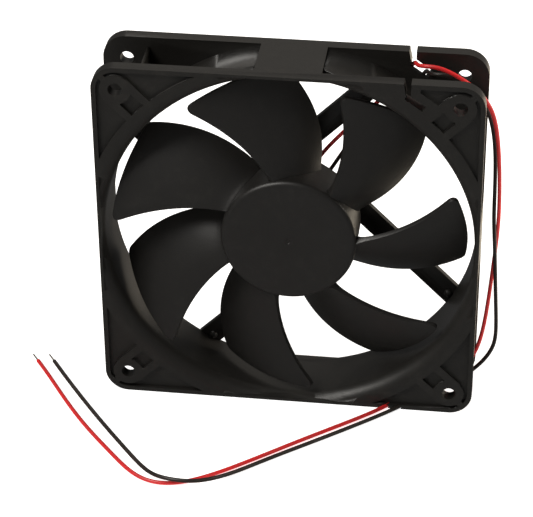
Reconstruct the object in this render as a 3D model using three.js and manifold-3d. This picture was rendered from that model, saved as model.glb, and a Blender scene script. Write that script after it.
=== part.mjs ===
// A 120 mm axial case fan with a brushless motor and two leads, in millimetres, +Z up.
// The fan stands upright: its air path runs along Y, the intake face looks towards -Y, and the
// origin is under the middle of the frame, on the surface that it stands on.
import * as THREE from "three";
import { NURBSCurve } from "three/addons/curves/NURBSCurve.js";
import { mergeVertices } from "three/addons/utils/BufferGeometryUtils.js";
import Module from "manifold-3d";

const wasm = await Module();
wasm.setup();

// ---- Driving dimensions ----

// Frame
const side = 120;
const depth = 25;
const cornerRadius = 7.5;
const flangeThickness = 4;
const holeInset = 7.5; // frame edge to screw hole centre, so 105 mm between holes
const holeRadius = 2.2;
const boreGap = 1.6; // frame edge to bore, at the middle of each side
const tunnelWall = 1.9;
const midWallHalfWidth = 10.3;
const bellDepth = 5;
const bellRise = 4.4;
const sideLip = 1.0; // what the bells leave of the frame at the middle of each side
const wedgeLength = 14;
const wedgeWidth = 4;
const wedgeDepth = 0.9;
const webThickness = 0.9;
const webInset = 14.4; // frame edge to the web in each left-hand corner
const webDrop = 3.5;

// Moulded relief on the front of each corner
const reliefDepth = 1.2;
const rimWidth = 1.5;
const reliefBellGap = 1.9; // bell edge to relief
const bossRadius = 4.9;
const landHalfWidth = 5.2;
const tipLandHalfWidth = 1;
const squareHalfWidth = 2.6;
const squareLength = 5.1;

// Lead notch in both flanges, in the top right corner
const slitMouthFrom = 35.1; // at the frame's top edge, along X
const slitMouthTo = 37.5;
const slitThroat = 1.2; // width where the slit meets the slot
const slotAngle = 54.2; // degrees round from +X
const slotLength = 6.8;
const frontSlotWidth = 1.9;
const rearSlotWidth = 3.1;
const slotBellGap = 2.6; // bell edge to slot
const notchLand = 2.8;
const notchLandFrom = 22; // along X, where the flat left of the slit starts
const grooveDepth = 2.5;
const grooveWidth = 6.8;
const footClearance = 0.22; // round each lead where it passes under the front flange

// Motor base and struts
const baseRadius = 18.4;
const baseRecess = 0.5; // rear face of the frame to the base
const baseFloor = 1.4;
const baseHeight = 4.5;
const baseWall = 1.3;
const boardLedge = 1.2;
const boardHeight = 1.8; // base floor to circuit board
const tubeBossWall = 1.6;
const strutOffset = 16.1; // strut's middle line to the fan's axis
const strutWidth = 7;
const strutThickness = 2.7;
const strutCrown = 0.8;
const strutRearInset = 1.4; // rear face of the frame to the struts
const knobRadius = 1.4;
const leadExitWidth = 2.1;

// Impeller
const tipGap = 2.4;
const hubRadius = 21.5;
const hubWall = 1.3;
const hubRoof = 1.6;
const hubSetback = 3; // front face of the frame to the hub's face
const hubEdgeRadius = 1.6;
const rotorGap = 1; // motor base to the hub's rear edge
const bladeCount = 7;
const bladeThickness = 1.4;
const bladeSink = 0.7; // how far a blade's root runs into the hub
const bladeCamber = 1.5;
const leadingRootAngle = 2.5;
const leadingTipAngle = 22.4;
const trailingRootAngle = -35.4;
const trailingTipAngle = -9.7;
const trailingBow = 0.22; // share of the trailing sweep that comes late, towards the tip
const leadingTipSetback = 2.2; // front face of the frame to the blade's leading tip
const leadingRootSetback = 4.9;
const trailingRise = 2.4; // hub's rear edge to the blade's trailing edge
const leadingTipRound = 3;
const trailingTipRound = 1.2;

// Motor
const fitGap = 0.15;
const airGap = 0.5;
const cupWall = 0.9;
const magnetThickness = 2.4;
const shaftRadius = 1.5;
const shaftBossRadius = 3.9;
const shaftBossLength = 1.8;
const shaftGrooveDepth = 0.45;
const ringThickness = 0.35;
const bearingRadius = 4;
const bearingWidth = 3.5;
const bearingFit = 0.06;
const raceShare = 0.248; // of the room between the shaft and the bearing's outside
const cageShare = 0.2;
const ballFit = 0.08; // ball to each race's groove
const ballCount = 6;
const raceGroove = 0.26;
const tubeWall = 0.85;
const washerThickness = 0.2;
const washerWave = 0.22;
const washerWaves = 3;
const washerWidth = 0.7;
const tubeSetback = 0.7; // shaft boss to the tube's front end
const bearingSetback = 0.5; // tube's front end to the front bearing
const boardThickness = 1.2;
const componentRoom = 1.3;
const componentHeight = 1;
const coilBuild = 1.9;
const insulatorWall = 0.6;
const coreWall = 2.25;
const neckWidth = 4;
const shoeThickness = 2.1;
const poleSlot = 4.4;
const poleCount = 4;
const labelThickness = 0.25;
const labelInset = 1.2;

// Leads
const leadRadius = 0.65;
const leadSides = 8;
const stepsPerPoint = 2;
const bareRadius = 0.27;
const bareLength = 4;

// ---- Derived sizes, in the fan's own frame: z along the axis, front positive ----

const half = side / 2;
const front = depth / 2;
const rear = -depth / 2;
const boreRadius = half - boreGap;
const bellRadius = boreRadius + bellRise;
const hole = half - holeInset;
const holeDistance = hole * Math.SQRT2;
const reliefRadius = bellRadius + reliefBellGap;

const baseRear = rear + baseRecess;
const baseTop = baseRear + baseFloor;
const baseFront = baseRear + baseHeight;
const boardRear = baseTop + boardHeight;
const boardFront = boardRear + boardThickness;
const boardRadius = baseRadius - baseWall - fitGap;
const strutRear = rear + strutRearInset;
const strutFront = strutRear + strutThickness;

const hubFace = front - hubSetback;
const hubUnder = hubFace - hubRoof;
const hubRear = baseFront + rotorGap;
const hubInner = hubRadius - hubWall;
const tipRadius = boreRadius - tipGap;
const bladeRoot = hubRadius - bladeSink;
const shaftBossEnd = hubUnder - shaftBossLength;

const cupOuter = hubInner - fitGap;
const cupInner = cupOuter - cupWall;
const cupFront = hubUnder - fitGap;
const cupUnder = cupFront - cupWall;
const cupRear = hubRear + 0.6;
const magnetOuter = cupInner - fitGap;
const magnetInner = magnetOuter - magnetThickness;
const magnetFront = cupUnder - 1;
const magnetRear = cupRear + 0.4;
const statorRadius = magnetInner - airGap;

const bearingRoom = bearingRadius - shaftRadius;
const raceThickness = raceShare * bearingRoom;
const ballRadius = (bearingRoom - bearingFit) / 2 - raceThickness + raceGroove - ballFit;
const cageThickness = cageShare * bearingRoom;
const tubeInner = bearingRadius + bearingFit;
const tubeOuter = tubeInner + tubeWall;
const tubeFront = shaftBossEnd - tubeSetback;
const tubeRear = baseRear + 0.2;
const boardHole = tubeOuter + tubeBossWall + 2 * fitGap;
const frontBearing = tubeFront - bearingSetback - bearingWidth / 2;
const rearBearing = tubeRear + 1.1 + bearingWidth / 2;
const shaftFront = hubUnder - fitGap;
const shaftRear = tubeRear + 0.1;
const grooveFront = rearBearing - bearingWidth / 2 - 0.1;

const coilRear = boardFront + componentRoom;
const coilFront = cupUnder - 0.8;
const coreRear = coilRear + coilBuild + insulatorWall + 2 * fitGap;
const coreFront = coilFront - coilBuild - insulatorWall - 2 * fitGap;
const coreBore = tubeOuter + 0.3;
const coreHub = coreBore + coreWall;
const shoeInner = statorRadius - shoeThickness;

// ---- Geometry helpers ----

// A closed geometry as a solid that can be joined and cut.
function solid(geometry) {
  const bare = geometry.clone();
  bare.deleteAttribute("normal");
  bare.deleteAttribute("uv");
  const merged = mergeVertices(bare, 1e-4);
  const mesh = new wasm.Mesh({
    numProp: 3,
    vertProperties: merged.attributes.position.array,
    triVerts: new Uint32Array(merged.index.array),
  });
  return new wasm.Manifold(mesh);
}

function geometryOf(made) {
  const { vertProperties, triVerts } = made.getMesh();
  const geometry = new THREE.BufferGeometry();
  geometry.setAttribute("position", new THREE.BufferAttribute(vertProperties, 3));
  geometry.setIndex(new THREE.BufferAttribute(triVerts, 1));
  geometry.computeVertexNormals();
  return geometry;
}

// A [radius, z] profile turned about the z axis.
function turned(profile, segments = 32) {
  const points = profile.map(([r, z]) => new THREE.Vector2(r, z));
  return new THREE.LatheGeometry(points, segments).rotateX(Math.PI / 2);
}

function disc(radius, z0, z1, segments = 32) {
  return turned([[0, z0], [radius, z0], [radius, z1], [0, z1]], segments);
}

function tube(outer, inner, z0, z1, segments = 32) {
  return turned([[inner, z0], [outer, z0], [outer, z1], [inner, z1], [inner, z0]], segments);
}

function block(x0, x1, y0, y1, z0, z1) {
  const box = new THREE.BoxGeometry(x1 - x0, y1 - y0, z1 - z0);
  return box.translate((x0 + x1) / 2, (y0 + y1) / 2, (z0 + z1) / 2);
}

// An outline raised from z0 to z1.
function raised(shape, z0, z1, curveSegments = 6) {
  const options = { depth: z1 - z0, bevelEnabled: false, curveSegments };
  return new THREE.ExtrudeGeometry(shape, options).translate(0, 0, z0);
}

function roundedSquare(halfSide, radius) {
  const shape = new THREE.Shape();
  const middle = halfSide - radius;
  shape.absarc(middle, middle, radius, 0, Math.PI / 2);
  shape.absarc(-middle, middle, radius, Math.PI / 2, Math.PI);
  shape.absarc(-middle, -middle, radius, Math.PI, 1.5 * Math.PI);
  shape.absarc(middle, -middle, radius, 1.5 * Math.PI, 2 * Math.PI);
  return shape;
}

function mix(a, b, share) {
  return a + (b - a) * share;
}

function radians(degrees) {
  return (degrees * Math.PI) / 180;
}

const boreSegments = 128;
const quarterTurns = [0, 1, 2, 3].map((k) => (k * Math.PI) / 2);

// ---- Frame ----

// The air path: a bore with a bell at each end, kept inside the sides of the frame.
function airPath() {
  const bellSteps = [0, 1, 2, 3, 4].map((k) => (k / 4) * (Math.PI / 2));
  const frontBell = bellSteps.map((a) => [
    boreRadius + bellRise * (1 - Math.cos(a)),
    front - bellDepth + bellDepth * Math.sin(a),
  ]);
  const rearBell = frontBell.map(([r, z]) => [r, -z]).reverse();
  const over = 1;
  const profile = [
    [0, rear - over],
    [bellRadius, rear - over],
    ...rearBell,
    ...frontBell,
    [bellRadius, front + over],
    [0, front + over],
  ];
  const limit = half - sideLip;
  const inside = block(-limit, limit, -limit, limit, rear - 2 * over, front + 2 * over);
  return solid(turned(profile, boreSegments)).intersect(solid(inside));
}

// Flat outer wall in the middle of one side, then a shallow wedge beside each end of it.
function midWall(turn) {
  const wall = block(
    -midWallHalfWidth, midWallHalfWidth, boreRadius - 2, half, rear + 1, front - 1,
  );
  return solid(wall.rotateZ(turn));
}

function wedge(turn, hand) {
  const shape = new THREE.Shape();
  const inner = front - flangeThickness;
  shape.moveTo(midWallHalfWidth * hand, -inner);
  shape.lineTo((midWallHalfWidth + wedgeLength) * hand, -inner);
  shape.lineTo(midWallHalfWidth * hand, wedgeWidth - inner);
  shape.closePath();
  const cutter = raised(shape, 0, half + 1).rotateX(-Math.PI / 2).rotateZ(turn);
  const floor = disc(boreRadius + tunnelWall - wedgeDepth, rear - 1, front + 1, boreSegments);
  return solid(cutter).subtract(solid(floor));
}

// The relief moulded into the front of one corner: two triangles and a square that leave a boss
// round the hole, a diagonal land and a narrow rim.
function cornerRelief(turn) {
  const floor = front - reliefDepth;
  const top = front + 1;
  const rim = raised(roundedSquare(half - rimWidth, cornerRadius - rimWidth), floor, top, 5);
  const quarter = block(0, half, 0, half, floor - 1, top + 1);
  const inner = disc(reliefRadius, floor - 1, top + 1, boreSegments);
  const boss = disc(bossRadius, floor - 1, top + 1, 24).translate(hole, hole, 0);
  const land = block(0, holeDistance, -landHalfWidth, landHalfWidth, floor - 1, top + 1);
  const tipLand = block(0, side, -tipLandHalfWidth, tipLandHalfWidth, floor - 1, top + 1);
  const square = block(
    reliefRadius - 2, reliefRadius + squareLength, -squareHalfWidth, squareHalfWidth, floor, top,
  );
  const diagonal = Math.PI / 4;
  const cut = solid(rim)
    .intersect(solid(quarter))
    .subtract(solid(land.rotateZ(diagonal)))
    .subtract(solid(tipLand.rotateZ(diagonal)))
    .add(solid(square.rotateZ(diagonal)))
    .subtract(solid(inner))
    .subtract(solid(boss));
  return solid(geometryOf(cut).rotateZ(turn));
}

// The slot that the leads lie in, grown by a margin on every side.
function notchSlot(width, z0, z1, grow) {
  const slotRadius = bellRadius + slotBellGap + width / 2;
  const angle = radians(slotAngle);
  const slot = block(
    -width / 2 - grow, width / 2 + grow, -slotLength / 2 - grow, slotLength / 2 + grow, z0, z1,
  );
  slot.rotateZ(angle).translate(slotRadius * Math.cos(angle), slotRadius * Math.sin(angle), 0);
  return solid(slot);
}

// The whole L-shaped notch: the slot, and a slit that narrows from the top edge down to it.
function leadNotch(width, z0, z1) {
  const floor = Math.sqrt((bellRadius + slotBellGap + width / 2) ** 2 - slitMouthTo ** 2) - 0.6;
  const mouth = new THREE.Shape();
  mouth.moveTo(slitMouthTo - slitThroat, floor);
  mouth.lineTo(slitMouthTo, floor);
  mouth.lineTo(slitMouthTo, half + 1);
  mouth.lineTo(slitMouthFrom, half + 1);
  mouth.closePath();
  return notchSlot(width, z0, z1, 0).add(solid(raised(mouth, z0, z1)));
}

// A shallow groove in the rear face that takes the leads from the air path to the notch.
function leadGroove() {
  const start = boreRadius - 1;
  const end = bellRadius + slotBellGap + 0.5;
  const groove = block(start, end, -grooveWidth / 2, grooveWidth / 2, rear - 1, rear + grooveDepth);
  return solid(groove.rotateZ(radians(slotAngle)));
}

// The channel that one lead passes through under the front flange.
function footChannel(points) {
  const tunnel = solid(sleeve(points, leadRadius + footClearance));
  const open = tunnel.add(tunnel.translate(0, 0, -1));
  const local = geometryOf(open).translate(0, 0, -half).rotateX(-Math.PI / 2);
  const foot = block(0, half, -half - 1, -half + 3, front - flangeThickness - 1, front + 1);
  return solid(local).intersect(solid(foot));
}

// A thin web between the flanges in one left-hand corner.
function cornerWeb(hand) {
  const reach = half - webDrop;
  const at = webInset - half;
  const web = block(
    at - webThickness / 2, at + webThickness / 2, Math.min(0, hand * reach),
    Math.max(0, hand * reach), rear + 1, front - 1,
  );
  return solid(web);
}

function motorBase() {
  const boss = tubeOuter + fitGap + tubeBossWall;
  const inner = baseRadius - baseWall;
  const shell = turned([
    [0, baseRear], [baseRadius, baseRear], [baseRadius, baseFront], [inner, baseFront],
    [inner, boardRear - fitGap], [inner - boardLedge, boardRear - fitGap],
    [inner - boardLedge, baseTop], [boss, baseTop], [boss, boardFront], [0, boardFront],
  ], 40);
  return solid(shell);
}

// One slanting strut with a crowned front, from the motor base out into the tunnel's wall.
function strut(turn) {
  const shape = new THREE.Shape();
  const left = strutOffset - strutWidth / 2;
  const right = strutOffset + strutWidth / 2;
  shape.moveTo(left, strutRear);
  shape.lineTo(right, strutRear);
  shape.lineTo(right, strutFront - strutCrown);
  shape.quadraticCurveTo(strutOffset, strutFront + strutCrown, left, strutFront - strutCrown);
  shape.closePath();
  const bar = raised(shape, 0, half, 4).rotateX(Math.PI / 2);
  const reach = boreRadius + tunnelWall / 2;
  const knobAt = -Math.sqrt(boreRadius ** 2 - strutOffset ** 2) + 1.4;
  const knob = new THREE.SphereGeometry(knobRadius, 10, 6).translate(strutOffset, knobAt, strutFront);
  const limit = disc(reach, strutRear - 1, strutFront + 3, boreSegments);
  const inside = disc(baseRadius - baseWall / 2, strutRear - 1, strutFront + 3, 40);
  return solid(bar.rotateZ(turn))
    .add(solid(knob.rotateZ(turn)))
    .intersect(solid(limit))
    .subtract(solid(inside));
}

function leadExit(angle) {
  const cut = block(
    baseRadius - 3.4, baseRadius + 1, -leadExitWidth / 2, leadExitWidth / 2,
    baseTop, baseFront + 1,
  );
  return solid(cut.rotateZ(angle));
}

function frameSolid() {
  const outline = roundedSquare(half, cornerRadius);
  const square = block(-half, half, -half, half, rear, front);
  let made = solid(disc(boreRadius + tunnelWall, rear, front, boreSegments)).intersect(solid(square));
  made = made.add(solid(raised(outline, front - flangeThickness, front)));
  made = made.add(solid(raised(outline, rear, rear + flangeThickness)));
  for (const turn of quarterTurns) made = made.add(midWall(turn));
  made = made.add(cornerWeb(1)).add(cornerWeb(-1)).subtract(airPath());
  for (const turn of quarterTurns) {
    made = made.subtract(wedge(turn, 1)).subtract(wedge(turn, -1));
    made = made.subtract(cornerRelief(turn));
    const screwHole = disc(holeRadius, rear - 1, front + 1, 20).translate(hole, hole, 0);
    made = made.subtract(solid(screwHole.rotateZ(turn)));
  }
  const landRear = front - reliefDepth - 0.2;
  const landTo = slitMouthTo + notchLand;
  const notchWall = notchSlot(frontSlotWidth, landRear, front, notchLand)
    .add(solid(block(notchLandFrom, landTo, bellRadius * Math.SQRT1_2, half, landRear, front)));
  const frontPlate = raised(outline, landRear, front);
  made = made.add(notchWall.intersect(solid(frontPlate)).subtract(airPath()));
  made = made.subtract(leadNotch(frontSlotWidth, front - flangeThickness - 1, front + 1));
  made = made.subtract(leadNotch(rearSlotWidth, rear - 1, rear + flangeThickness + 1));
  made = made.subtract(leadGroove());
  made = made.subtract(footChannel(redPath)).subtract(footChannel(blackPath));
  const motor = quarterTurns.reduce((sum, turn) => sum.add(strut(turn + Math.PI / 4)), motorBase());
  made = made.add(motor);
  made = made.subtract(solid(disc(tubeOuter + fitGap, baseRear - 1, baseFront + 1, 24)));
  for (const exit of leadExits) made = made.subtract(leadExit(exit));
  return made;
}

// ---- Impeller ----

// One blade: a box bent so that x runs from the trailing edge to the leading one, z out along
// the span and y through the thickness.
function bladeGeometry() {
  const chordSteps = 7;
  const spanSteps = 5;
  const box = new THREE.BoxGeometry(1, 1, 1, chordSteps, 1, spanSteps);
  const at = box.attributes.position;
  for (let i = 0; i < at.count; i++) {
    const chord = (1 - Math.cos(Math.PI * (at.getX(i) + 0.5))) / 2;
    const span = at.getZ(i) + 0.5;
    const [angle, r, z] = bladePoint(chord, span, at.getY(i) * bladeThickness);
    at.setXYZ(i, r * Math.cos(angle), r * Math.sin(angle), z);
  }
  return box;
}

// Distance that a rounded corner takes off an edge, a share of the way along it.
function cornerDrop(share, length, radius) {
  const into = Math.min(1, (share * length) / radius);
  return radius * (1 - Math.sqrt(1 - (1 - into) ** 2));
}

function bladePoint(chord, span, offset) {
  const tipChord = radians(leadingTipAngle - trailingTipAngle) * tipRadius;
  const drop =
    cornerDrop(chord, tipChord, trailingTipRound) + cornerDrop(1 - chord, tipChord, leadingTipRound);
  const r = mix(bladeRoot, tipRadius - drop, span);
  const reach = (r - hubRadius) / (tipRadius - hubRadius);
  const late = reach * (1 - trailingBow) + reach * reach * trailingBow;
  const leading = radians(mix(leadingRootAngle, leadingTipAngle, reach));
  const trailing = radians(mix(trailingRootAngle, trailingTipAngle, late));
  const leadingZ = front - mix(leadingRootSetback, leadingTipSetback, reach);
  const trailingZ = hubRear + trailingRise;
  const around = (leading - trailing) * r;
  const along = leadingZ - trailingZ;
  const length = Math.hypot(around, along);
  const bulge = bladeCamber * 4 * chord * (1 - chord) + offset;
  const angle = mix(trailing, leading, chord) - (bulge * along) / length / r;
  const z = mix(trailingZ, leadingZ, chord) + (bulge * around) / length;
  return [angle, r, z];
}

function impellerSolid() {
  const corner = [0, 1, 2, 3].map((k) => (k / 3) * (Math.PI / 2));
  const edge = corner.map((a) => [
    hubRadius - hubEdgeRadius * (1 - Math.cos(a)),
    hubFace - hubEdgeRadius * (1 - Math.sin(a)),
  ]);
  const cup = turned([
    [0, hubUnder], [hubInner, hubUnder], [hubInner, hubRear], [hubRadius, hubRear],
    ...edge, [0, hubFace],
  ], 48);
  const boss = tube(shaftBossRadius, shaftRadius + fitGap, shaftBossEnd, hubUnder + 0.4, 20);
  const dimple = disc(1, hubFace - 0.25, hubFace + 1, 12);
  let made = solid(cup).add(solid(boss)).subtract(solid(dimple));
  const blade = bladeGeometry();
  const inside = solid(disc(hubInner + 0.1, hubRear - 1, hubUnder, 48));
  for (let k = 0; k < bladeCount; k++) {
    const turnedBlade = blade.clone().rotateZ((k * 2 * Math.PI) / bladeCount);
    made = made.add(solid(turnedBlade).subtract(inside));
  }
  return made;
}

// ---- Rotor ----

const cupProfile = [
  [shaftBossRadius + fitGap, cupUnder], [cupInner, cupUnder], [cupInner, cupRear],
  [cupOuter, cupRear], [cupOuter, cupFront], [shaftBossRadius + fitGap, cupFront],
  [shaftBossRadius + fitGap, cupUnder],
];

const shaftProfile = [
  [0, shaftRear], [shaftRadius, shaftRear], [shaftRadius, grooveFront - ringThickness - fitGap],
  [shaftRadius - shaftGrooveDepth, grooveFront - ringThickness - fitGap],
  [shaftRadius - shaftGrooveDepth, grooveFront], [shaftRadius, grooveFront],
  [shaftRadius, shaftFront], [0, shaftFront],
];

// An open clip that sits in the shaft's groove behind the rear bearing.
function retainingRing() {
  const inner = shaftRadius - shaftGrooveDepth + 0.08;
  const z1 = grooveFront - fitGap / 2;
  const ring = tube(inner + 1.1, inner, z1 - ringThickness, z1, 24);
  const gap = block(0, 4, -0.6, 0.6, z1 - 1, z1 + 1);
  return solid(ring).subtract(solid(gap));
}

// The wave washer that preloads both bearings, between the shaft boss and the front inner race.
function preloadWasher() {
  const middle = (frontBearing + bearingWidth / 2 + shaftBossEnd) / 2;
  const inner = shaftRadius + fitGap;
  const z0 = middle - washerThickness / 2;
  const ring = tube(inner + washerWidth, inner, z0, z0 + washerThickness, 24);
  const at = ring.attributes.position;
  for (let i = 0; i < at.count; i++) {
    const wave = washerWave * Math.cos(washerWaves * Math.atan2(at.getY(i), at.getX(i)));
    at.setZ(i, at.getZ(i) + wave);
  }
  return ring;
}

// ---- Bearings ----

const ballCircle = (shaftRadius + bearingFit + bearingRadius) / 2;

function race(outward, middle) {
  const z0 = middle - bearingWidth / 2;
  const z1 = middle + bearingWidth / 2;
  const plain = outward ? bearingRadius : shaftRadius + bearingFit;
  const track = outward ? bearingRadius - raceThickness : plain + raceThickness;
  const groove = track + (outward ? raceGroove : -raceGroove);
  const trackSide = [[track, z0], [track, middle - 0.6], [groove, middle], [track, middle + 0.6]];
  const profile = outward
    ? [[plain, z0], [plain, z1], [track, z1], ...trackSide.reverse(), [plain, z0]]
    : [[plain, z1], [plain, z0], ...trackSide, [track, z1], [plain, z1]];
  return turned(profile, 32);
}

function ballAt(index, middle, radius) {
  const angle = (index * 2 * Math.PI) / ballCount;
  const ball = new THREE.SphereGeometry(radius, 8, 5);
  return ball.translate(ballCircle * Math.cos(angle), ballCircle * Math.sin(angle), middle);
}

// A crown cage: a ring beside the balls with a pocket cut for each.
function cage(middle) {
  const ring = tube(
    ballCircle + cageThickness / 2, ballCircle - cageThickness / 2, middle + 0.3, middle + 1.25, 18,
  );
  let made = solid(ring);
  for (let k = 0; k < ballCount; k++) {
    made = made.subtract(solid(ballAt(k, middle, ballRadius + ballFit)));
  }
  return made;
}

// ---- Stator ----

function stack(z0, z1) {
  const body = solid(tube(coreHub, coreBore, z0, z1, 24));
  const ring = solid(tube(statorRadius, shoeInner, z0, z1, 40));
  const bars = [];
  const slots = [];
  for (let k = 0; k < poleCount; k++) {
    const turn = (k * 2 * Math.PI) / poleCount;
    const bar = block(coreBore + 0.5, statorRadius - 0.5, -neckWidth / 2, neckWidth / 2, z0, z1);
    const slot = block(shoeInner - 1, statorRadius + 1, -poleSlot / 2, poleSlot / 2, z0 - 1, z1 + 1);
    bars.push(solid(bar.rotateZ(turn)));
    slots.push(solid(slot.rotateZ(turn + Math.PI / poleCount)));
  }
  const shoes = slots.reduce((sum, slot) => sum.subtract(slot), ring);
  return bars.reduce((sum, bar) => sum.add(bar), body.add(shoes));
}

const armHalf = neckWidth / 2 + fitGap + insulatorWall;
const armEnd = Math.sqrt((shoeInner - 2 * fitGap) ** 2 - armHalf ** 2);
const coilHalf = armHalf + fitGap + coilBuild;
const coilInnerRadius = coreHub + 1;
const coilOuterRadius = Math.sqrt((shoeInner - 2 * fitGap) ** 2 - coilHalf ** 2);

// One half of the bobbin: a ring and four channels over the necks, from one end of the core.
function insulator(endZ, direction) {
  const face = endZ + direction * fitGap;
  const outer = face + direction * insulatorWall;
  const skirt = endZ - direction * ((coreFront - coreRear) / 2 - fitGap);
  const span = (a, b) => [Math.min(a, b), Math.max(a, b)];
  let made = solid(tube(coreHub - 0.2, coreBore + 0.2, ...span(face, outer), 24));
  for (let k = 0; k < poleCount; k++) {
    const turn = (k * 2 * Math.PI) / poleCount;
    const arm = block(coreHub - 1, armEnd, -armHalf, armHalf, ...span(skirt, outer));
    const neck = block(
      coreHub - 2, shoeInner + 1, -neckWidth / 2 - fitGap, neckWidth / 2 + fitGap,
      ...span(skirt - direction, face),
    );
    const hub = disc(coreHub + fitGap, ...span(skirt - direction, face), 24);
    made = made.add(
      solid(arm.rotateZ(turn)).subtract(solid(neck.rotateZ(turn))).subtract(solid(hub)),
    );
  }
  return made;
}

function coil(index) {
  const turn = (index * 2 * Math.PI) / poleCount;
  const inner = armHalf + fitGap;
  const rearZ = coreRear - insulatorWall - 2 * fitGap;
  const frontZ = coreFront + insulatorWall + 2 * fitGap;
  const outerShape = new THREE.Shape();
  const width = inner + coilBuild;
  const round = 1.2;
  outerShape.absarc(width - round, frontZ + coilBuild - round, round, 0, Math.PI / 2);
  outerShape.absarc(-width + round, frontZ + coilBuild - round, round, Math.PI / 2, Math.PI);
  outerShape.absarc(-width + round, rearZ - coilBuild + round, round, Math.PI, 1.5 * Math.PI);
  outerShape.absarc(width - round, rearZ - coilBuild + round, round, 1.5 * Math.PI, 2 * Math.PI);
  const window = new THREE.Path();
  window.moveTo(-inner, rearZ);
  window.lineTo(-inner, frontZ);
  window.lineTo(inner, frontZ);
  window.lineTo(inner, rearZ);
  window.closePath();
  outerShape.holes.push(window);
  const winding = raised(outerShape, coilInnerRadius, coilOuterRadius, 3);
  return winding.rotateX(Math.PI / 2).rotateZ(Math.PI / 2 + turn);
}

// ---- Circuit board and what is on it ----

function boardPiece(width, length, height, distance, angle) {
  const z0 = boardFront + 0.1;
  const piece = block(
    distance - width / 2, distance + width / 2, -length / 2, length / 2, z0, z0 + height,
  );
  return piece.rotateZ(radians(angle));
}

// ---- Leads: each a list of points in the standing frame ----

const leadExits = [radians(71), radians(54)];

const redPath = [
  [4.6, 9.7, 73.2], [5.9, 9.7, 77.2], [9.0, 9.9, 82.4], [16.6, 10.6, 91.0], [24.4, 11.3, 98.6],
  [31.0, 11.7, 106.6], [35.0, 11.7, 112.5], [36.9, 10.9, 115.3], [37.5, 8.4, 116.2],
  [38.2, 5.3, 117.0], [40.6, 3.3, 118.0], [45.4, 3.0, 118.0], [51.4, 2.8, 115.0],
  [57.2, 2.7, 110.8], [61.6, 2.6, 105.0], [63.6, 2.4, 96.5], [64.7, 2.0, 85.0],
  [65.2, 2.0, 73.0], [65.3, 2.6, 63.0], [64.6, 2.9, 52.0], [63.8, 2.4, 40.0],
  [62.6, 1.6, 26.0], [60.8, 1.0, 16.6], [57.4, 0.4, 10.0], [52.4, -0.4, 5.2],
  [46.8, -1.6, 2.0], [41.6, -3.6, 0.7], [37.0, -7.0, 0.7], [32.0, -12.8, 0.7],
  [24.6, -19.6, 0.7], [8.0, -32.8, 0.7], [-9.0, -47.4, 0.7], [-21.6, -57.2, 0.7],
  [-32.6, -61.8, 0.7], [-42.6, -58.6, 0.7], [-52.0, -47.4, 0.7], [-64.0, -33.4, 0.7],
  [-75.0, -17.0, 0.7], [-80.6, -8.0, 0.7], [-85.6, -0.8, 0.7],
];

const blackPath = [
  [7.9, 9.7, 70.8], [11.0, 9.8, 74.8], [15.0, 10.2, 82.8], [21.4, 10.8, 91.0],
  [28.0, 11.3, 97.8], [34.4, 11.7, 104.0], [38.9, 11.7, 109.7], [40.4, 10.9, 112.5],
  [41.0, 8.8, 113.5], [41.5, 6.3, 113.9], [43.6, 4.6, 114.7], [47.6, 4.3, 115.0],
  [52.6, 4.4, 112.6], [57.4, 4.6, 108.4], [60.9, 4.6, 102.0], [62.8, 4.3, 93.0],
  [63.4, 3.7, 83.0], [63.6, 2.6, 74.0], [63.7, 1.2, 66.0], [64.6, 0.8, 56.0],
  [65.5, 0.8, 40.0], [66.4, 0.6, 27.0], [66.4, 0.4, 19.4], [63.6, 0.1, 13.6],
  [59.6, -0.4, 9.0], [54.6, -1.4, 4.8], [49.0, -3.0, 1.6], [43.8, -5.6, 0.7],
  [39.0, -9.6, 0.7], [33.0, -15.8, 0.7], [16.0, -30.0, 0.7], [-2.0, -44.2, 0.7],
  [-12.0, -53.0, 0.7], [-19.6, -59.6, 2.2], [-25.4, -62.2, 3.3], [-32.4, -61.6, 3.4],
  [-38.8, -56.8, 1.4], [-47.0, -46.0, 0.7], [-66.0, -21.6, 0.7], [-80.2, -0.4, 0.7],
];

// A smooth curve drawn by the points without passing through them, which starts and ends at the
// first and the last. Its steps follow the points, so they are closer together in the bends.
class LeadPath extends NURBSCurve {
  constructor(points) {
    const spans = points.length - 3;
    const knots = [0, 0, 0];
    for (let k = 0; k <= spans; k++) knots.push(k);
    knots.push(spans, spans, spans);
    super(3, knots, points.map(([x, y, z]) => new THREE.Vector4(x, y, z, 1)));
  }

  getUtoTmapping(u) {
    return u;
  }
}

function sleeve(points, radius) {
  const section = new THREE.Shape();
  for (let k = 0; k < leadSides; k++) {
    const a = ((k + 0.5) * 2 * Math.PI) / leadSides;
    const corner = [radius * Math.cos(a), radius * Math.sin(a)];
    if (k === 0) section.moveTo(...corner);
    else section.lineTo(...corner);
  }
  section.closePath();
  const steps = (points.length - 1) * stepsPerPoint;
  return new THREE.ExtrudeGeometry(section, { steps, extrudePath: new LeadPath(points) });
}

// The tinned strands that stand out of a lead's end.
function bareEnd(points) {
  const path = new LeadPath(points);
  const direction = path.getTangent(1);
  const strand = new THREE.CylinderGeometry(bareRadius, bareRadius, bareLength, 10);
  const turnTo = new THREE.Quaternion().setFromUnitVectors(new THREE.Vector3(0, 1, 0), direction);
  const middle = path.getPoint(1).addScaledVector(direction, bareLength / 2 + fitGap);
  return strand.applyQuaternion(turnTo).translate(middle.x, middle.y, middle.z);
}

// ---- Materials ----

function finish(color, roughness, metalness = 0) {
  return new THREE.MeshStandardMaterial({ color, roughness, metalness });
}

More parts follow.
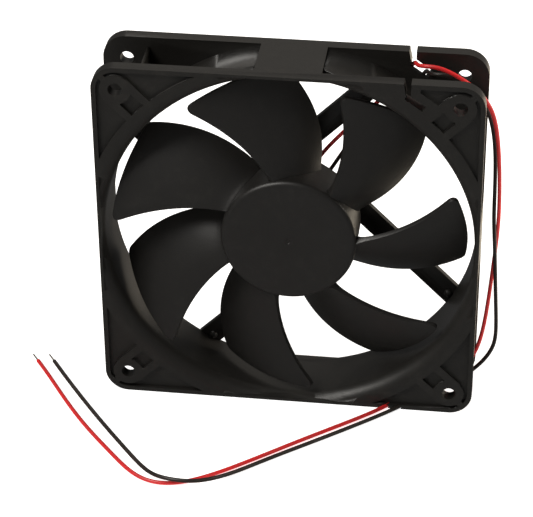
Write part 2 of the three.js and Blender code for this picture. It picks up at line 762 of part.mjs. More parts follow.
const framePlastic = finish(0x232220, 0.55);
const impellerPlastic = finish(0x262523, 0.5);
const steel = finish(0x9a9c9e, 0.35, 1);
const brass = finish(0xb08d45, 0.35, 1);
const copper = finish(0xa5562e, 0.4, 1);
const ferrite = finish(0x2c2a29, 0.8);
const nylon = finish(0xd8d2c2, 0.6);
const laminate = finish(0x3c6b45, 0.5);
const chip = finish(0x191919, 0.4);
const paper = finish(0xb9bcbe, 0.45, 0.6);
const redSleeve = finish(0xc62d2f, 0.45);
const blackSleeve = finish(0x1b1815, 0.45);
const tinned = finish(0xb9b7b0, 0.3, 1);

// ---- Assembly ----

const standing = new THREE.Group(); // the fan's own frame, turned upright
standing.rotation.x = Math.PI / 2;
standing.position.z = half;

function place(group, name, shape, material) {
  const geometry = shape.isBufferGeometry ? shape : geometryOf(shape);
  const mesh = new THREE.Mesh(geometry, material);
  mesh.name = name;
  group.add(mesh);
}

place(standing, "frame", frameSolid(), framePlastic);
place(standing, "bearing_tube", tube(tubeOuter, tubeInner, tubeRear, tubeFront, 24), brass);
place(standing, "rear_label",
  disc(baseRadius - labelInset, baseRear - 0.1 - labelThickness, baseRear - 0.1, 32), paper);
place(standing, "stator_core", stack(coreRear, coreFront), steel);
place(standing, "front_insulator", insulator(coreFront, 1), nylon);
place(standing, "rear_insulator", insulator(coreRear, -1), nylon);
for (let k = 0; k < poleCount; k++) place(standing, `coil_${k + 1}`, coil(k), copper);
place(standing, "circuit_board", tube(boardRadius, boardHole, boardRear, boardFront, 32), laminate);
place(standing, "hall_sensor", boardPiece(1.5, 3.6, 2.4, 14.9, 45), chip);
place(standing, "driver_chip", boardPiece(3.9, 4.9, componentHeight, 11.6, 180), chip);
place(standing, "capacitor", boardPiece(1.6, 3.2, componentHeight, 12.2, 290), nylon);

place(standing, "impeller", impellerSolid(), impellerPlastic);
place(standing, "rotor_cup", turned(cupProfile, 48), steel);
place(standing, "magnet_ring", tube(magnetOuter, magnetInner, magnetRear, magnetFront, 48), ferrite);
place(standing, "shaft", turned(shaftProfile, 20), steel);
place(standing, "retaining_ring", retainingRing(), steel);
place(standing, "preload_washer", preloadWasher(), steel);

for (const [name, middle] of [["front", frontBearing], ["rear", rearBearing]]) {
  place(standing, `${name}_outer_race`, race(true, middle), steel);
  place(standing, `${name}_inner_race`, race(false, middle), steel);
  place(standing, `${name}_ball_cage`, cage(middle), brass);
  for (let k = 0; k < ballCount; k++) {
    place(standing, `${name}_ball_${k + 1}`, ballAt(k, middle, ballRadius), steel);
  }
}

const fan = new THREE.Group();
fan.add(standing);
place(fan, "lead_red", sleeve(redPath, leadRadius), redSleeve);
place(fan, "lead_black", sleeve(blackPath, leadRadius), blackSleeve);
place(fan, "bare_end_red", bareEnd(redPath), tinned);
place(fan, "bare_end_black", bareEnd(blackPath), tinned);

export default fan;
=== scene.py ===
from math import cos, exp, hypot, pi, radians, sin, sqrt

import bmesh
import bpy
from mathutils import Matrix, Quaternion, Vector


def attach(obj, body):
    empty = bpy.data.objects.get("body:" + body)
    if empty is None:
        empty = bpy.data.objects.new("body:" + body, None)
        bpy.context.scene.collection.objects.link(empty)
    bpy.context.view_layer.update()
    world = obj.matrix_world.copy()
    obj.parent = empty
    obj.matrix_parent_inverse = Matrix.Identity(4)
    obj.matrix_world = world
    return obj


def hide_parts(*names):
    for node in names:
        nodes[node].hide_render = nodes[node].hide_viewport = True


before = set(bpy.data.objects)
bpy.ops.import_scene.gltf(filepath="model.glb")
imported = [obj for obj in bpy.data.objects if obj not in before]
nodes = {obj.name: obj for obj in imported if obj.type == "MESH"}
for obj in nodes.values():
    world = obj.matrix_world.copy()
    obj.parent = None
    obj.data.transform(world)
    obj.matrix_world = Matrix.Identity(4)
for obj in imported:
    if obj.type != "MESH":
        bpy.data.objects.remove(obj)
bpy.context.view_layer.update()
scene = bpy.context.scene
millimetre = 0.001
axisHeight = 0.06  # metres, with the fan stood on its edge
# The fan's own frame, with its axis along z and its front up, stood on its edge.
standing = (
    Matrix.Translation((0, 0, axisHeight)) @ Matrix.Rotation(pi / 2, 4, "X") @ Matrix.Scale(millimetre, 4)
)
print("model loaded:", len(nodes), "nodes")

cameraSettings = {
    "place": (75.83, -618.7, 452.3),
    "target": (-8.11, 0, 46.91),
    "roll": -0.51,  # degrees
    "lens": 156.57,
    "sensor": 36,
}


def addCamera(s):
    data = bpy.data.cameras.new("camera")
    data.lens = s["lens"]
    data.sensor_width = s["sensor"]
    data.clip_start = 0.01
    data.clip_end = 20
    camera = bpy.data.objects.new("camera", data)
    scene.collection.objects.link(camera)
    place = Vector(s["place"]) * millimetre
    look = Vector(s["target"]) * millimetre - place
    turn = look.to_track_quat("-Z", "Y") @ Quaternion((0, 0, 1), radians(s["roll"]))
    camera.rotation_mode = "QUATERNION"
    camera.location = place
    camera.rotation_quaternion = turn
    scene.camera = camera


addCamera(cameraSettings)
print("camera placed")


# Wraps one output socket, so that sums on it add Math nodes to its finish.
class Field:
    def __init__(self, finish, socket):
        self.finish = finish
        self.socket = socket

    def math(self, operation, *others):
        values = dict(enumerate([self, *others]))
        return self.finish.node("ShaderNodeMath", {"operation": operation}, values)

    def __add__(self, other):
        return self.math("ADD", other)

    def __sub__(self, other):
        return self.math("SUBTRACT", other)

    def __mul__(self, other):
        return self.math("MULTIPLY", other)

    def __gt__(self, other):
        return self.math("GREATER_THAN", other)

    def __rsub__(self, other):
        return self.math("MULTIPLY", -1) + other

    def __radd__(self, other):
        return self + other


# One material under construction: its shader's fixed values, and the nodes that vary over it.
class Finish:
    def __init__(self, name, colour, roughness, metallic=0, **fixed):
        self.material = bpy.data.materials.new(name)
        self.material.use_nodes = True
        self.tree = self.material.node_tree
        self.shader = self.tree.nodes["Principled BSDF"]
        self.shader.inputs["Base Color"].default_value = (*colour, 1)
        self.shader.inputs["Roughness"].default_value = roughness
        self.shader.inputs["Metallic"].default_value = metallic
        for socket, value in fixed.items():
            self.shader.inputs[socket.replace("_", " ")].default_value = value
        self.place = self.node("ShaderNodeTexCoord", output="Object")

    def node(self, kind, settings=None, sockets=None, output=0):
        made = self.tree.nodes.new(kind)
        for key, value in (settings or {}).items():
            setattr(made, key, value)
        for key, value in (sockets or {}).items():
            if isinstance(value, Field):
                self.tree.links.new(value.socket, made.inputs[key])
            else:
                made.inputs[key].default_value = value
        return Field(self, made.outputs[output])

    def feed(self, socket, value):
        self.tree.links.new(value.socket, self.shader.inputs[socket])

    def noise(self, size, detail=3, roughness=0.5):
        return self.node(
            "ShaderNodeTexNoise",
            sockets={
                "Vector": self.place, "Scale": 1 / (size * millimetre), "Detail": detail,
                "Roughness": roughness,
            },
        )

    # 0 below low, 1 above high, straight between
    def ramp(self, value, low, high, to=(0, 1)):
        return self.node(
            "ShaderNodeMapRange",
            sockets={
                "Value": value, "From Min": low, "From Max": high, "To Min": to[0], "To Max": to[1]
            },
        )

    def blend(self, factor, first, second):
        def whole(colour):
            return colour if isinstance(colour, Field) else (*colour, 1)

        return self.node(
            "ShaderNodeMix", {"data_type": "RGBA"},
            {0: factor, 6: whole(first), 7: whole(second)}, output=2,
        )

    # the parts of a point along x, y and z
    def parts(self):
        return [
            self.node("ShaderNodeSeparateXYZ", sockets={0: self.place}, output=k) for k in range(3)
        ]

    # distance from the fan's axis, in metres
    def fromAxis(self):
        x, _, z = self.parts()
        up = z - axisHeight
        return (x * x + up * up).math("SQRT")

    def bump(self, height, depth, strength=1):
        normal = self.node(
            "ShaderNodeBump",
            sockets={"Strength": strength, "Distance": depth * millimetre, "Height": height},
        )
        self.feed("Normal", normal)


# Moulded plastic with an eroded grain: broad patches of polish, fine pits and a scuffed bloom.
def mouldedPlastic(name, colour, bloom, roughness, grain, depth, **fixed):
    f = Finish(name, colour, roughness, **fixed)
    patch = f.ramp(f.noise(22, 4, 0.55), 0.3, 0.7)
    pits = f.noise(grain, 2, 0.6)
    swell = f.noise(grain * 4, 3, 0.6)
    specks = f.ramp(f.noise(grain * 1.3, 4, 0.75), 0.62, 0.74)
    dust = f.ramp(f.noise(3.4, 5, 0.7), 0.5, 0.78) * patch
    f.feed("Base Color", f.blend(dust * 0.5 + specks * 0.45, colour, bloom))
    polish = f.ramp(patch, 0, 1, (roughness - 0.05, roughness + 0.05))
    f.feed("Roughness", polish + (pits - 0.5) * 0.12)
    f.bump(pits * 0.7 + swell * 0.3, depth)
    return f


def framePlastic():
    return mouldedPlastic(
        "frame plastic", (0.0125, 0.0116, 0.0102), (0.03, 0.027, 0.022), 0.4, 0.45, 0.06,
        Specular_IOR_Level=0.5,
    ).material


def impellerPlastic():
    return mouldedPlastic(
        "impeller plastic", (0.0118, 0.011, 0.0101), (0.026, 0.024, 0.021), 0.41, 0.4, 0.045,
        Specular_IOR_Level=0.5,
    ).material


# Soft lead insulation, a little uneven in colour where it has been handled.
def sleevePlastic(name, colour, worn, roughness):
    f = Finish(name, colour, roughness, Coat_Weight=0.15, Coat_Roughness=0.3)
    handled = f.ramp(f.noise(6, 4, 0.6), 0.42, 0.68)
    f.feed("Base Color", f.blend(handled * 0.6, colour, worn))
    f.feed("Roughness", f.ramp(handled, 0, 1, (roughness - 0.06, roughness + 0.08)))
    f.bump(f.noise(0.5, 2), 0.012)
    return f.material


def tinnedCopper():
    f = Finish("tinned copper", (0.42, 0.39, 0.34), 0.38, 0.9)
    dull = f.ramp(f.noise(0.6, 3), 0.4, 0.7)
    f.feed("Base Color", f.blend(dull, (0.46, 0.43, 0.37), (0.26, 0.22, 0.17)))
    f.bump(f.noise(0.2, 2), 0.01)
    return f.material


print("makers ready")

leadSettings = {
    "radius": 0.65,
    "red": [
        (4.6, 9.7, 73.2), (5.9, 9.7, 77.2), (9.0, 9.9, 82.4), (16.6, 10.6, 91.0), (24.4, 11.3, 98.6),
        (31.0, 11.7, 106.6), (35.0, 11.7, 112.5), (36.9, 10.9, 115.3), (37.5, 8.4, 116.2),
        (38.2, 5.3, 117.0), (40.6, 3.3, 118.0), (45.4, 3.0, 118.0), (51.4, 2.8, 115.0),
        (57.2, 2.7, 110.8), (61.6, 2.6, 105.0), (63.6, 2.4, 96.5), (64.7, 2.0, 85.0),
        (65.2, 2.0, 73.0), (65.3, 2.6, 63.0), (64.6, 2.9, 52.0), (63.8, 2.4, 40.0),
        (62.6, 1.6, 26.0), (60.8, 1.0, 16.6), (57.4, 0.4, 10.0), (52.4, -0.4, 5.2),
        (46.8, -1.6, 2.0), (41.6, -3.6, 0.7), (37.0, -7.0, 0.7), (32.0, -12.8, 0.7),
        (24.6, -19.6, 0.7), (8.0, -32.8, 0.7), (-9.0, -47.4, 0.7), (-21.6, -57.2, 0.7),
        (-32.6, -61.8, 0.7), (-42.6, -58.6, 0.7), (-52.0, -47.4, 0.7), (-64.0, -33.4, 0.7),
        (-75.0, -17.0, 0.7), (-80.6, -8.0, 0.7), (-85.6, -0.8, 0.7),
    ],
    "black": [
        (7.9, 9.7, 70.8), (11.0, 9.8, 74.8), (15.0, 10.2, 82.8), (21.4, 10.8, 91.0),
        (28.0, 11.3, 97.8), (34.4, 11.7, 104.0), (38.9, 11.7, 109.7), (40.4, 10.9, 112.5),
        (41.0, 8.8, 113.5), (41.5, 6.3, 113.9), (43.6, 4.6, 114.7), (47.6, 4.3, 115.0),
        (52.6, 4.4, 112.6), (57.4, 4.6, 108.4), (60.9, 4.6, 102.0), (62.8, 4.3, 93.0),
        (63.4, 3.7, 83.0), (63.6, 2.6, 74.0), (63.7, 1.2, 66.0), (64.6, 0.8, 56.0),
        (65.5, 0.8, 40.0), (66.4, 0.6, 27.0), (66.4, 0.4, 19.4), (63.6, 0.1, 13.6),
        (59.6, -0.4, 9.0), (54.6, -1.4, 4.8), (49.0, -3.0, 1.6), (43.8, -5.6, 0.7),
        (39.0, -9.6, 0.7), (33.0, -15.8, 0.7), (16.0, -30.0, 0.7), (-2.0, -44.2, 0.7),
        (-12.0, -53.0, 0.7), (-19.6, -59.6, 2.2), (-25.4, -62.2, 3.3), (-32.4, -61.6, 3.4),
        (-38.8, -56.8, 1.4), (-47.0, -46.0, 0.7), (-66.0, -21.6, 0.7), (-80.2, -0.4, 0.7),
    ],
    "lengths": {"red": 0.379, "black": 0.3715},  # metres
}

strandSettings = {
    "strands": 6,
    "radius": 0.1,
    "lay": 0.17,  # strand's middle to the lead's middle
    "length": 5,
    "inside": 0.85,  # how much of it is in the sleeve
    "twist": 250,  # degrees over the whole length
    "steps": 18,
}


# The bared end: a core strand and a ring of strands twisted round it.
def bareStrands(name, points, s, material):
    bm = bmesh.new()
    step = Vector((0, 0, s["length"] / s["steps"]))
    for k in range(s["strands"] + 1):
        around = 2 * pi * k / s["strands"]
        middle = Vector((cos(around), sin(around), 0)) * (s["lay"] if k < s["strands"] else 0)
        ring = bmesh.ops.create_circle(
            bm, cap_ends=False, radius=s["radius"], segments=8, matrix=Matrix.Translation(middle)
        )["verts"]
        edges = list({e for v in ring for e in v.link_edges})
        bmesh.ops.contextual_create(bm, geom=edges)
        end = bmesh.ops.spin(
            bm, geom=edges, cent=(0, 0, 0), axis=(0, 0, 1), dvec=step,
            angle=radians(s["twist"]), steps=s["steps"], use_merge=False,
        )["geom_last"]
        rim = [g for g in end if isinstance(g, bmesh.types.BMEdge)]
        bmesh.ops.contextual_create(bm, geom=rim)
    bmesh.ops.remove_doubles(bm, verts=bm.verts, dist=0.0001)
    bmesh.ops.recalc_face_normals(bm, faces=bm.faces)
    tip, before = (Vector(p) for p in (points[-1], points[-2]))
    along = (tip - before).normalized()
    turn = along.to_track_quat("Z", "Y").to_matrix().to_4x4()
    place = Matrix.Translation((tip - along * s["inside"]) * millimetre)
    bmesh.ops.transform(bm, matrix=place @ turn @ Matrix.Scale(millimetre, 4), verts=bm.verts)
    return finishPiece(bm, name, material, 40)


# Makes the object of a finished bmesh, smooth but for its sharp edges.
def finishPiece(bm, name, material, sharp):
    mesh = bpy.data.meshes.new(name)
    bm.to_mesh(mesh)
    bm.free()
    mesh.materials.append(material)
    mesh.polygons.foreach_set("use_smooth", [True] * len(mesh.polygons))
    mesh.set_sharp_from_angle(angle=radians(sharp))
    piece = bpy.data.objects.new(name, mesh)
    scene.collection.objects.link(piece)
    return piece


def lead(colour, material, s):
    curve = bpy.data.curves.new(colour + " lead", "CURVE")
    curve.dimensions = "3D"
    curve.bevel_depth = s["radius"] * millimetre
    curve.bevel_resolution = 4
    curve.resolution_u = 8
    curve.use_fill_caps = True
    spline = curve.splines.new("NURBS")
    spline.points.add(len(s[colour]) - 1)
    for point, place in zip(spline.points, s[colour]):
        point.co = (*(Vector(place) * millimetre), 1)
    spline.order_u = 4
    spline.use_endpoint_u = True
    curve.materials.append(material)
    piece = bpy.data.objects.new(colour + "_sleeve", curve)
    scene.collection.objects.link(piece)
    strands = bareStrands(colour + "_strands", s[colour], strandSettings, tinned)
    for part, node, slot in (
        (piece, "lead_" + colour, colour + "_sleeve"), (strands, "bare_end_" + colour, "tinned_copper")
    ):
        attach(part, "housing")
        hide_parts(node)


tinned = tinnedCopper()
redSleeve = sleevePlastic("red sleeve", (0.72, 0.022, 0.024), (0.56, 0.018, 0.02), 0.4)
blackSleeve = sleevePlastic("black sleeve", (0.02, 0.016, 0.013), (0.03, 0.024, 0.02), 0.4)
lead("red", redSleeve, leadSettings)
lead("black", blackSleeve, leadSettings)
print("leads laid")

frameSettings = {
    "edge": 0.22,  # rounding of the moulding's edges
    "sharp": 32,  # degrees between two faces that get a rounded edge
    "shortest": 0.3,  # an edge shorter than this stays sharp
    "flat": 0.6,  # degrees within which faces count as one
    "weld": 0.002,
}


# The frame's own shape with its edges eased, as a mould leaves them.
def easedFrame(s, material):
    bm = bmesh.new()
    bm.from_mesh(nodes["frame"].data)
    bmesh.ops.remove_doubles(bm, verts=bm.verts, dist=s["weld"] * millimetre)
    bmesh.ops.dissolve_limit(
        bm, angle_limit=radians(s["flat"]), verts=bm.verts, edges=bm.edges, delimit={"NORMAL"}
    )
    shortest = s["shortest"] * millimetre
    edges = [
        e for e in bm.edges
        if e.is_manifold and e.calc_face_angle() > radians(s["sharp"]) and e.calc_length() > shortest
    ]
    bmesh.ops.bevel(
        bm, geom=edges, offset=s["edge"] * millimetre, affect="EDGES", segments=2, profile=0.5,
        material=-1, clamp_overlap=True, loop_slide=True,
    )
    bmesh.ops.remove_doubles(bm, verts=bm.verts, dist=s["weld"] * millimetre)
    piece = finishPiece(bm, "moulded_frame", material, 40)
    even = piece.modifiers.new("even shading", "WEIGHTED_NORMAL")
    even.keep_sharp = True
    even.weight = 80
    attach(piece, "housing")
    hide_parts("frame")


easedFrame(frameSettings, framePlastic())
print("frame eased")

impellerSettings = {
    "hubRadius": 21.5,
    "hubFace": 9.5,
    "hubUnder": 7.9,
    "hubRear": -6.5,
    "hubInner": 20.2,
    "edgeRadius": 1.6,
    "bossRadius": 3.9,
    "bossEnd": 6.1,
    "bore": 1.65,
    "tipRadius": 56,
    "blades": 7,
    "thickness": 1.4,
    "camber": 1.5,
    "sink": 0.7,  # blade's root inside the hub
    "leading": (2.5, 22.4),  # degrees, at the hub and at the tip
    "trailing": (-35.4, -9.7),
    "late": 0.22,  # share of the trailing sweep that comes towards the tip
    "leadingHeight": (7.6, 10.3),
    "trailingHeight": -4.1,
    "tipRounds": (1.2, 3.0),  # trailing, leading
    "rootFlare": (1.5, 1.5),  # extra thickness at the hub, and how far it fades out
    "rounding": 0.5,
}


def cornerDrop(share, length, radius):
    into = min(1, share * length / radius)
    return radius * (1 - sqrt(1 - (1 - into) ** 2))


def mixed(ends, share):
    return ends[0] + (ends[1] - ends[0]) * share


# Where a blade has a point: chord from the trailing edge, span from the hub, side -0.5 or 0.5.
def bladePoint(s, chord, span, side):
    tip, hub = s["tipRadius"], s["hubRadius"]
    tipChord = radians(s["leading"][1] - s["trailing"][1]) * tip
    drop = cornerDrop(chord, tipChord, s["tipRounds"][0])
    drop += cornerDrop(1 - chord, tipChord, s["tipRounds"][1])
    r = mixed((hub - s["sink"], tip - drop), span)
    reach = (r - hub) / (tip - hub)
    late = reach * (1 - s["late"]) + reach * reach * s["late"]
    leading = radians(mixed(s["leading"], reach))
    trailing = radians(mixed(s["trailing"], late))
    leadingHeight = mixed(s["leadingHeight"], reach)
    around = (leading - trailing) * r
    along = leadingHeight - s["trailingHeight"]
    length = hypot(around, along)
    flare, fade = s["rootFlare"]
    thick = s["thickness"] + flare * exp(-max(0, r - hub) / fade)
    bulge = s["camber"] * 4 * chord * (1 - chord) + side * thick
    angle = mixed((trailing, leading), chord) - bulge * along / length / r
    height = mixed((s["trailingHeight"], leadingHeight), chord) + bulge * around / length
    return Vector((r * cos(angle), r * sin(angle), height))


def addBlades(bm, s):
    grid = bmesh.ops.create_grid(bm, x_segments=30, y_segments=26, size=0.5)["verts"]
    bmesh.ops.translate(bm, vec=(0, 0, -0.5), verts=grid)
    sheet = list({f for v in grid for f in v.link_faces})
    raised = bmesh.ops.extrude_face_region(bm, geom=sheet, use_keep_orig=True)["geom"]
    upper = [g for g in raised if isinstance(g, bmesh.types.BMVert)]
    bmesh.ops.translate(bm, vec=(0, 0, 1), verts=upper)
    for v in [*grid, *upper]:
        # points gather at both ends of the chord, and near the hub
        chord = (1 - cos(pi * (v.co.x + 0.5))) / 2
        span = (v.co.y + 0.5) ** 1.5
        v.co = bladePoint(s, chord, span, v.co.z)
    bmesh.ops.recalc_face_normals(bm, faces=bm.faces)
    rim = [e for e in bm.edges if e.calc_face_angle(0) > radians(50)]
    bmesh.ops.bevel(
        bm, geom=rim, offset=s["rounding"], affect="EDGES", segments=3, profile=0.5, material=-1,
        clamp_overlap=True,
    )
    bmesh.ops.spin(
        bm, geom=[*bm.verts, *bm.edges, *bm.faces], cent=(0, 0, 0), axis=(0, 0, 1),
        angle=2 * pi * (s["blades"] - 1) / s["blades"], steps=s["blades"] - 1, use_duplicate=True,
    )


def addHub(bm, s):
    face, under, rear, edge = s["hubFace"], s["hubUnder"], s["hubRear"], s["edgeRadius"]
    corner = [
        (s["hubRadius"] - edge * (1 - cos(a)), face - edge * (1 - sin(a)))
        for a in (pi / 2 * k / 8 for k in range(8, -1, -1))
    ]
    outline = [
        (0, face - 0.25), (0.8, face - 0.24), (0.95, face - 0.1), (1.1, face - 0.01), (1.25, face),
        (6, face), (12, face), (17, face), *corner, (s["hubRadius"], 4), (s["hubRadius"], 0),
        (s["hubRadius"], rear + 0.3), (s["hubRadius"] - 0.3, rear), (s["hubInner"] + 0.3, rear),
        (s["hubInner"], rear + 0.3), (s["hubInner"], under), (s["bossRadius"], under),
        (s["bossRadius"], s["bossEnd"]), (s["bore"], s["bossEnd"]), (s["bore"], under), (0, under),
    ]
    verts = [bm.verts.new((r, 0, z)) for r, z in outline]
    edges = [bm.edges.new(pair) for pair in zip(verts, verts[1:])]
    bmesh.ops.spin(
        bm, geom=[*verts, *edges], cent=(0, 0, 0), axis=(0, 0, 1), angle=2 * pi, steps=128,
        use_merge=True,
    )


def finishedImpeller(s, material):
    hub = bmesh.new()
    addHub(hub, s)
    bmesh.ops.remove_doubles(hub, verts=hub.verts, dist=0.0005)
    bmesh.ops.recalc_face_normals(hub, faces=hub.faces)
    hubMesh = bpy.data.meshes.new("hub")
    hub.to_mesh(hubMesh)
    hub.free()
    bm = bmesh.new()
    addBlades(bm, s)
    bmesh.ops.recalc_face_normals(bm, faces=bm.faces)
    bm.from_mesh(hubMesh)
    bmesh.ops.transform(bm, matrix=standing, verts=bm.verts)
    piece = finishPiece(bm, "moulded_impeller", material, 38)
    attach(piece, "rotor")
    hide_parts("impeller")


finishedImpeller(impellerSettings, impellerPlastic())
print("impeller shaped")


def steel(name, colour, roughness, streaks):
    f = Finish(name, colour, roughness, 1)
    brushed = f.noise(streaks, 3, 0.6)
    f.feed("Roughness", f.ramp(brushed, 0.3, 0.7, (roughness - 0.08, roughness + 0.12)))
    dark = tuple(0.7 * c for c in colour)
    f.feed("Base Color", f.blend(f.ramp(f.noise(streaks * 4, 4), 0.45, 0.75), colour, dark))
    f.bump(brushed, 0.006)
    return f.material


# Fine rings round the fan's axis, as a lathe leaves them.
def turnedMetal(name, colour, roughness, pitch):
    f = Finish(name, colour, roughness, 1)
    ring = (f.fromAxis() * (2 * pi / (pitch * millimetre))).math("SINE")
    haze = f.ramp(f.noise(1.2, 4, 0.6), 0.4, 0.7)
    f.feed("Roughness", f.ramp(haze, 0, 1, (roughness - 0.06, roughness + 0.1)))
    f.feed("Base Color", f.blend(haze * 0.5, colour, tuple(0.72 * c for c in colour)))
    f.bump(ring, 0.004)
    return f.material


# Thin plates stacked along the fan's axis, with a dull oxide between them.
def platedCore():
    f = Finish("core steel", (0.2, 0.2, 0.21), 0.5, 0.9)
    _, y, _ = f.parts()
    wave = (y * (2 * pi / 0.0005)).math("SINE")
    rust = f.ramp(f.noise(1.5, 5, 0.65), 0.55, 0.8)
    f.feed("Base Color", f.blend(rust, (0.22, 0.22, 0.23), (0.16, 0.1, 0.07)))
    f.feed("Roughness", 0.5 + rust * 0.3)
    f.bump(wave, 0.03)
    return f.material


# Enamelled wire wound in layers: close ridges that wander a little, with painted shade darkening the
# troughs between the turns.
def windings():
    f = Finish("copper wire", (0.62, 0.24, 0.1), 0.26, 1, Coat_Weight=0.5, Coat_Roughness=0.15)
    _, y, _ = f.parts()
    wander = f.noise(1.6, 2) * 2.4
    phase = y * (2 * pi / 0.00028) + wander
    ridge = phase.math("SINE")
    # painted shade: the colour goes dark in the troughs of the ridges, between the turns of wire
    f.feed("Base Color", f.blend(f.ramp(ridge, -1, 0.2), (0.2, 0.06, 0.025), (0.66, 0.26, 0.11)))
    f.bump(ridge, 0.05)
    return f.material


# Green laminate with pale tracks under the lacquer.
def laminate():
    f = Finish("board laminate", (0.03, 0.14, 0.06), 0.36, Coat_Weight=0.6, Coat_Roughness=0.12)
    cells = f.node(
        "ShaderNodeTexVoronoi", {"feature": "DISTANCE_TO_EDGE"},
        {"Vector": f.place, "Scale": 260, "Randomness": 0.4},
    )
    gap = f.ramp(cells, 0.03, 0.07)
    weave = f.noise(0.35, 2)
    lacquer = f.blend(weave, (0.03, 0.15, 0.06), (0.05, 0.2, 0.09))
    f.feed("Base Color", f.blend(gap, (0.014, 0.07, 0.03), lacquer))
    f.bump(gap + weave * 0.2, 0.03)
    return f.material


def nylon():
    f = Finish("nylon", (0.62, 0.6, 0.54), 0.42, Subsurface_Weight=0.1, Subsurface_Scale=0.001)
    stain = f.ramp(f.noise(2.5, 4, 0.6), 0.45, 0.75)
    f.feed("Base Color", f.blend(stain, (0.66, 0.64, 0.58), (0.5, 0.46, 0.38)))
    f.bump(f.noise(0.3, 2), 0.012)
    return f.material


def speckled(name, colour, fleck, size, roughness, depth, metallic=0):
    f = Finish(name, colour, roughness, metallic)
    spots = f.ramp(f.noise(size, 3, 0.6), 0.48, 0.66)
    f.feed("Base Color", f.blend(spots, colour, fleck))
    f.feed("Roughness", f.ramp(spots, 0, 1, (roughness - 0.05, roughness + 0.08)))
    f.bump(f.noise(size * 0.8, 3), depth)
    return f.material


# Plain foil label with a thin dark ring inside its edge, and the faint waves of thin foil.
def labelFoil(s):
    f = Finish("label foil", s["foil"], 0.36, 0.65)
    r = f.fromAxis()
    away = (r - s["ringRadius"] * millimetre).math("ABSOLUTE")
    line = f.ramp(away, 0.00018, 0.00026, (1, 0))
    band = (r > s["bandFrom"] * millimetre) * (1 - (r > s["bandTo"] * millimetre))
    printed = line.math("MAXIMUM", band)
    tone = f.blend(f.ramp(f.noise(5, 4), 0.35, 0.7), s["foil"], s["shade"])
    f.feed("Base Color", f.blend(printed, tone, s["print"]))
    f.feed("Metallic", 0.65 - printed * 0.6)
    f.feed("Roughness", 0.34 + printed * 0.2)
    f.bump(f.noise(4, 3), 0.05)
    return f.material


labelSettings = {
    "ringRadius": 15.6,
    "bandFrom": 9.4,
    "bandTo": 10.2,
    "foil": (0.62, 0.63, 0.64),
    "shade": (0.5, 0.51, 0.53),
    "print": (0.05, 0.05, 0.055),
}

bearingSteel = turnedMetal("bearing steel", (0.62, 0.62, 0.63), 0.16, 0.12)
nodeFinishes = {
    "bearing_tube": turnedMetal("brass", (0.72, 0.5, 0.2), 0.24, 0.2),
    "rear_label": labelFoil(labelSettings),
    "stator_core": platedCore(),
    "insulator": nylon(),
    "ball_cage": speckled("cage nylon", (0.5, 0.38, 0.2), (0.4, 0.29, 0.15), 0.8, 0.45, 0.01),
    "coil": windings(),
    "circuit_board": laminate(),
    "hall_sensor": speckled("sensor case", (0.016, 0.016, 0.017), (0.03, 0.03, 0.03), 0.2, 0.55, 0.01),
    "driver_chip": speckled("chip case", (0.02, 0.02, 0.021), (0.034, 0.034, 0.034), 0.2, 0.5, 0.01),
    "capacitor": speckled("ceramic", (0.5, 0.36, 0.22), (0.42, 0.29, 0.17), 0.3, 0.4, 0.008),
    "rotor_cup": steel("deep drawn steel", (0.5, 0.5, 0.51), 0.32, 0.5),
    "magnet_ring": speckled(
        "bonded ferrite", (0.035, 0.034, 0.036), (0.08, 0.075, 0.075), 0.35, 0.6, 0.02, 0.2
    ),
    "shaft": steel("ground steel", (0.66, 0.66, 0.67), 0.14, 0.15),
    "retaining_ring": steel("spring steel", (0.3, 0.29, 0.28), 0.34, 0.3),
    "preload_washer": steel("washer steel", (0.45, 0.45, 0.46), 0.28, 0.3),
    "outer_race": bearingSteel,
    "inner_race": bearingSteel,
    "ball": steel("ball steel", (0.72, 0.72, 0.73), 0.08, 0.2),
}


# A node takes the finish of the longest of those names that its own name holds.
def dressNodes(finishes):
    for name, node in nodes.items():
        words = [key for key in finishes if key in name]
        if not words:
            continue
        node.data.materials.clear()
        node.data.materials.append(finishes[max(words, key=len)])


dressNodes(nodeFinishes)
print("motor dressed")

studioSettings = {
    "floorHalf": 3.0,  # metres
    "floorColour": (0.9, 0.9, 0.9),
    "floorGlow": 0.8,
    "backdrop": (0.95, 0.95, 0.95),
    "roomLight": 0.1,  # what the room adds to the lamps
    # a cream card lying behind the fan, which only reflections show
    "card": {"low": (60, 20), "high": (260, 420), "glow": 0.9, "colour": (1.0, 0.9, 0.74)},
    # name: place, aimed at, width and height (metres), watts, colour
    "lamps": {
        "key": ((-0.6, -0.5, 1.0), (0, 0, 0.05), (0.6, 0.5), 10, (1.0, 0.97, 0.92)),
        "right side": ((0.95, 0.3, 0.4), (0, 0, 0.05), (0.5, 0.6), 9, (1.0, 0.91, 0.8)),
        "overhead": ((-0.35, 0.3, 1.1), (0, 0, 0.06), (0.7, 0.5), 2.6, (1.0, 0.95, 0.88)),
        "back": ((0.1, 0.9, 0.75), (0, 0, 0.06), (1.0, 0.5), 0.6, (1.0, 0.93, 0.83)),
    },
}


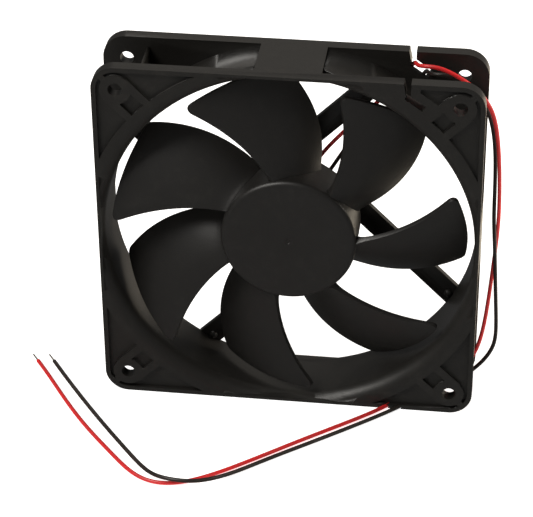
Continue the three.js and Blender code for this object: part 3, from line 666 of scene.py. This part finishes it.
def addCard(s):
    bm = bmesh.new()
    bmesh.ops.create_grid(bm, x_segments=1, y_segments=1, size=0.5)
    low, high = Vector(s["low"]) * millimetre, Vector(s["high"]) * millimetre
    size, middle = high - low, (high + low) / 2
    bmesh.ops.scale(bm, vec=(size.x, size.y, 1), verts=bm.verts)
    bmesh.ops.translate(bm, vec=(middle.x, middle.y, 0.0001), verts=bm.verts)
    f = Finish(
        "card", s["colour"], 0.9, Emission_Color=(*s["colour"], 1), Emission_Strength=s["glow"],
    )
    card = finishPiece(bm, "card", f.material, 30)
    card.visible_camera = False
    card.visible_diffuse = False
    card.visible_shadow = False


def addStudio(s):
    bm = bmesh.new()
    bmesh.ops.create_grid(bm, x_segments=1, y_segments=1, size=s["floorHalf"])
    bmesh.ops.translate(bm, vec=(0, 0, -0.00005), verts=bm.verts)
    f = Finish(
        "floor paper", s["floorColour"], 0.9, Emission_Color=(1, 1, 1, 1),
        Emission_Strength=s["floorGlow"], Specular_IOR_Level=0.0,
    )
    floor = finishPiece(bm, "floor", f.material, 30)
    floor.visible_glossy = False
    addCard(s["card"])
    for name, (place, target, size, watts, colour) in s["lamps"].items():
        data = bpy.data.lights.new(name, "AREA")
        data.shape = "RECTANGLE"
        data.size, data.size_y = size
        data.energy = watts
        data.color = colour
        lamp = bpy.data.objects.new(name, data)
        scene.collection.objects.link(lamp)
        lamp.location = place
        aim = Vector(target) - Vector(place)
        lamp.rotation_euler = aim.to_track_quat("-Z", "Y").to_euler()
    world = bpy.data.worlds.new("studio")
    scene.world = world
    world.use_nodes = True
    tree = world.node_tree
    room = tree.nodes["Background"]
    room.inputs["Color"].default_value = (*s["backdrop"], 1)
    room.inputs["Strength"].default_value = s["roomLight"]
    backdrop = tree.nodes.new("ShaderNodeBackground")
    backdrop.inputs["Color"].default_value = (*s["backdrop"], 1)
    ray = tree.nodes.new("ShaderNodeLightPath")
    both = tree.nodes.new("ShaderNodeMixShader")
    tree.links.new(ray.outputs["Is Camera Ray"], both.inputs[0])
    tree.links.new(room.outputs[0], both.inputs[1])
    tree.links.new(backdrop.outputs[0], both.inputs[2])
    tree.links.new(both.outputs[0], tree.nodes["World Output"].inputs[0])
    scene.view_settings.view_transform = "Standard"
    scene.view_settings.look = "None"
    scene.view_settings.exposure = 0
    scene.view_settings.gamma = 1


addStudio(studioSettings)
print("studio lit")
